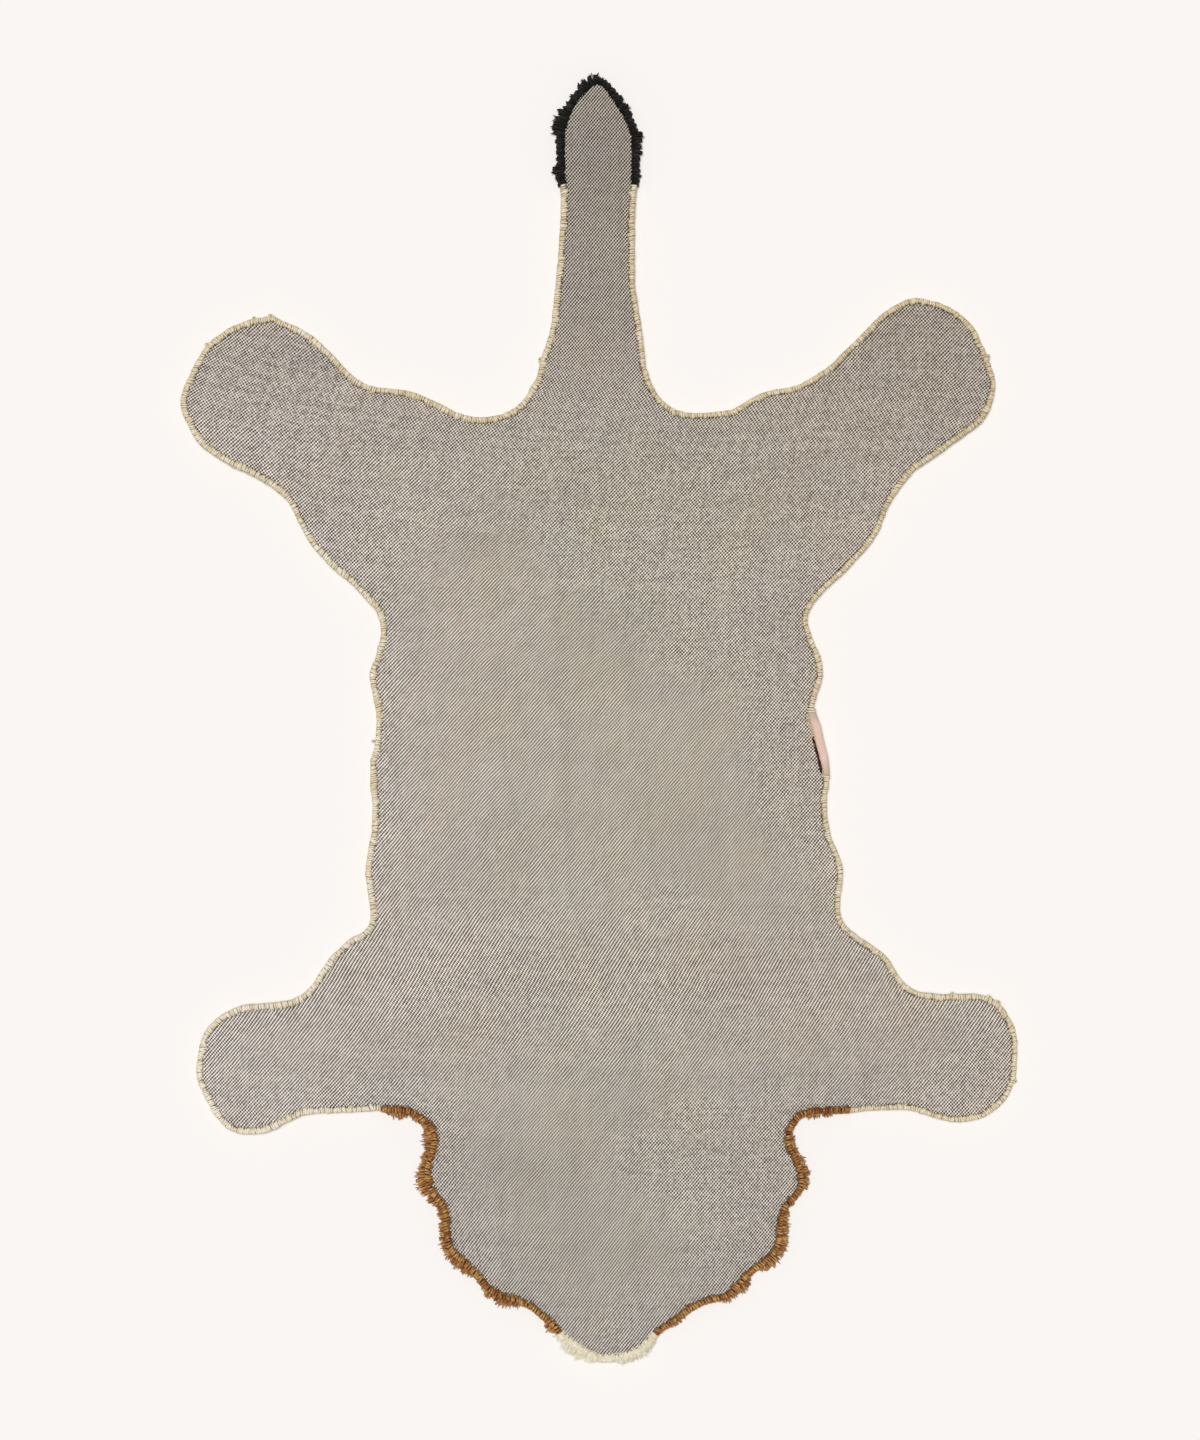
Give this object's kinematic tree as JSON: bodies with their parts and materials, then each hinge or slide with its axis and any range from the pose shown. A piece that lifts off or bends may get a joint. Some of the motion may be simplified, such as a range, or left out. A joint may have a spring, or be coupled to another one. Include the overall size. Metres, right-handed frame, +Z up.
{
  "type": "animal shaped kids rug",
  "caption": "Flat tufted rug cut to an animal's outline, lying face down: woven backing on top, whipped edges, long locks at mane and tail.",
  "frame": {"origin": "middle of the rug's footprint, on the floor", "axes": "+X to the rug's right seen from above, +Y from the muzzle to the tail, +Z up, with the backing cloth on top"},
  "size_m": [0.9742, 1.4996, 0.0143],
  "materials": {
    "backing_cloth": "plain weave of thick cream and dark grey cotton threads, matt",
    "cream_yarn": "cream wool yarn, whipped over the edge, soft and matt",
    "caramel_yarn": "caramel brown wool yarn, whipped and tufted, soft and matt",
    "black_yarn": "black wool yarn, tufted, soft and matt",
    "white_yarn": "off-white wool yarn, tufted and fluffy, matt",
    "ribbon": "dusty pink woven ribbon, bare, slight sheen"
  },
  "bodies": {
    "root": {"backing_cloth": "backing_cloth", "binding_cream_right": "cream_yarn", "binding_cream_left": "cream_yarn", "binding_mane_right": "caramel_yarn", "binding_mane_left": "caramel_yarn", "binding_muzzle": "white_yarn", "binding_tail_tip": "black_yarn", "label": "ribbon", "pile_body": "cream_yarn", "pile_mane": "caramel_yarn", "pile_muzzle": "white_yarn", "pile_tail_tip": "black_yarn"}
  },
  "joints": []
}
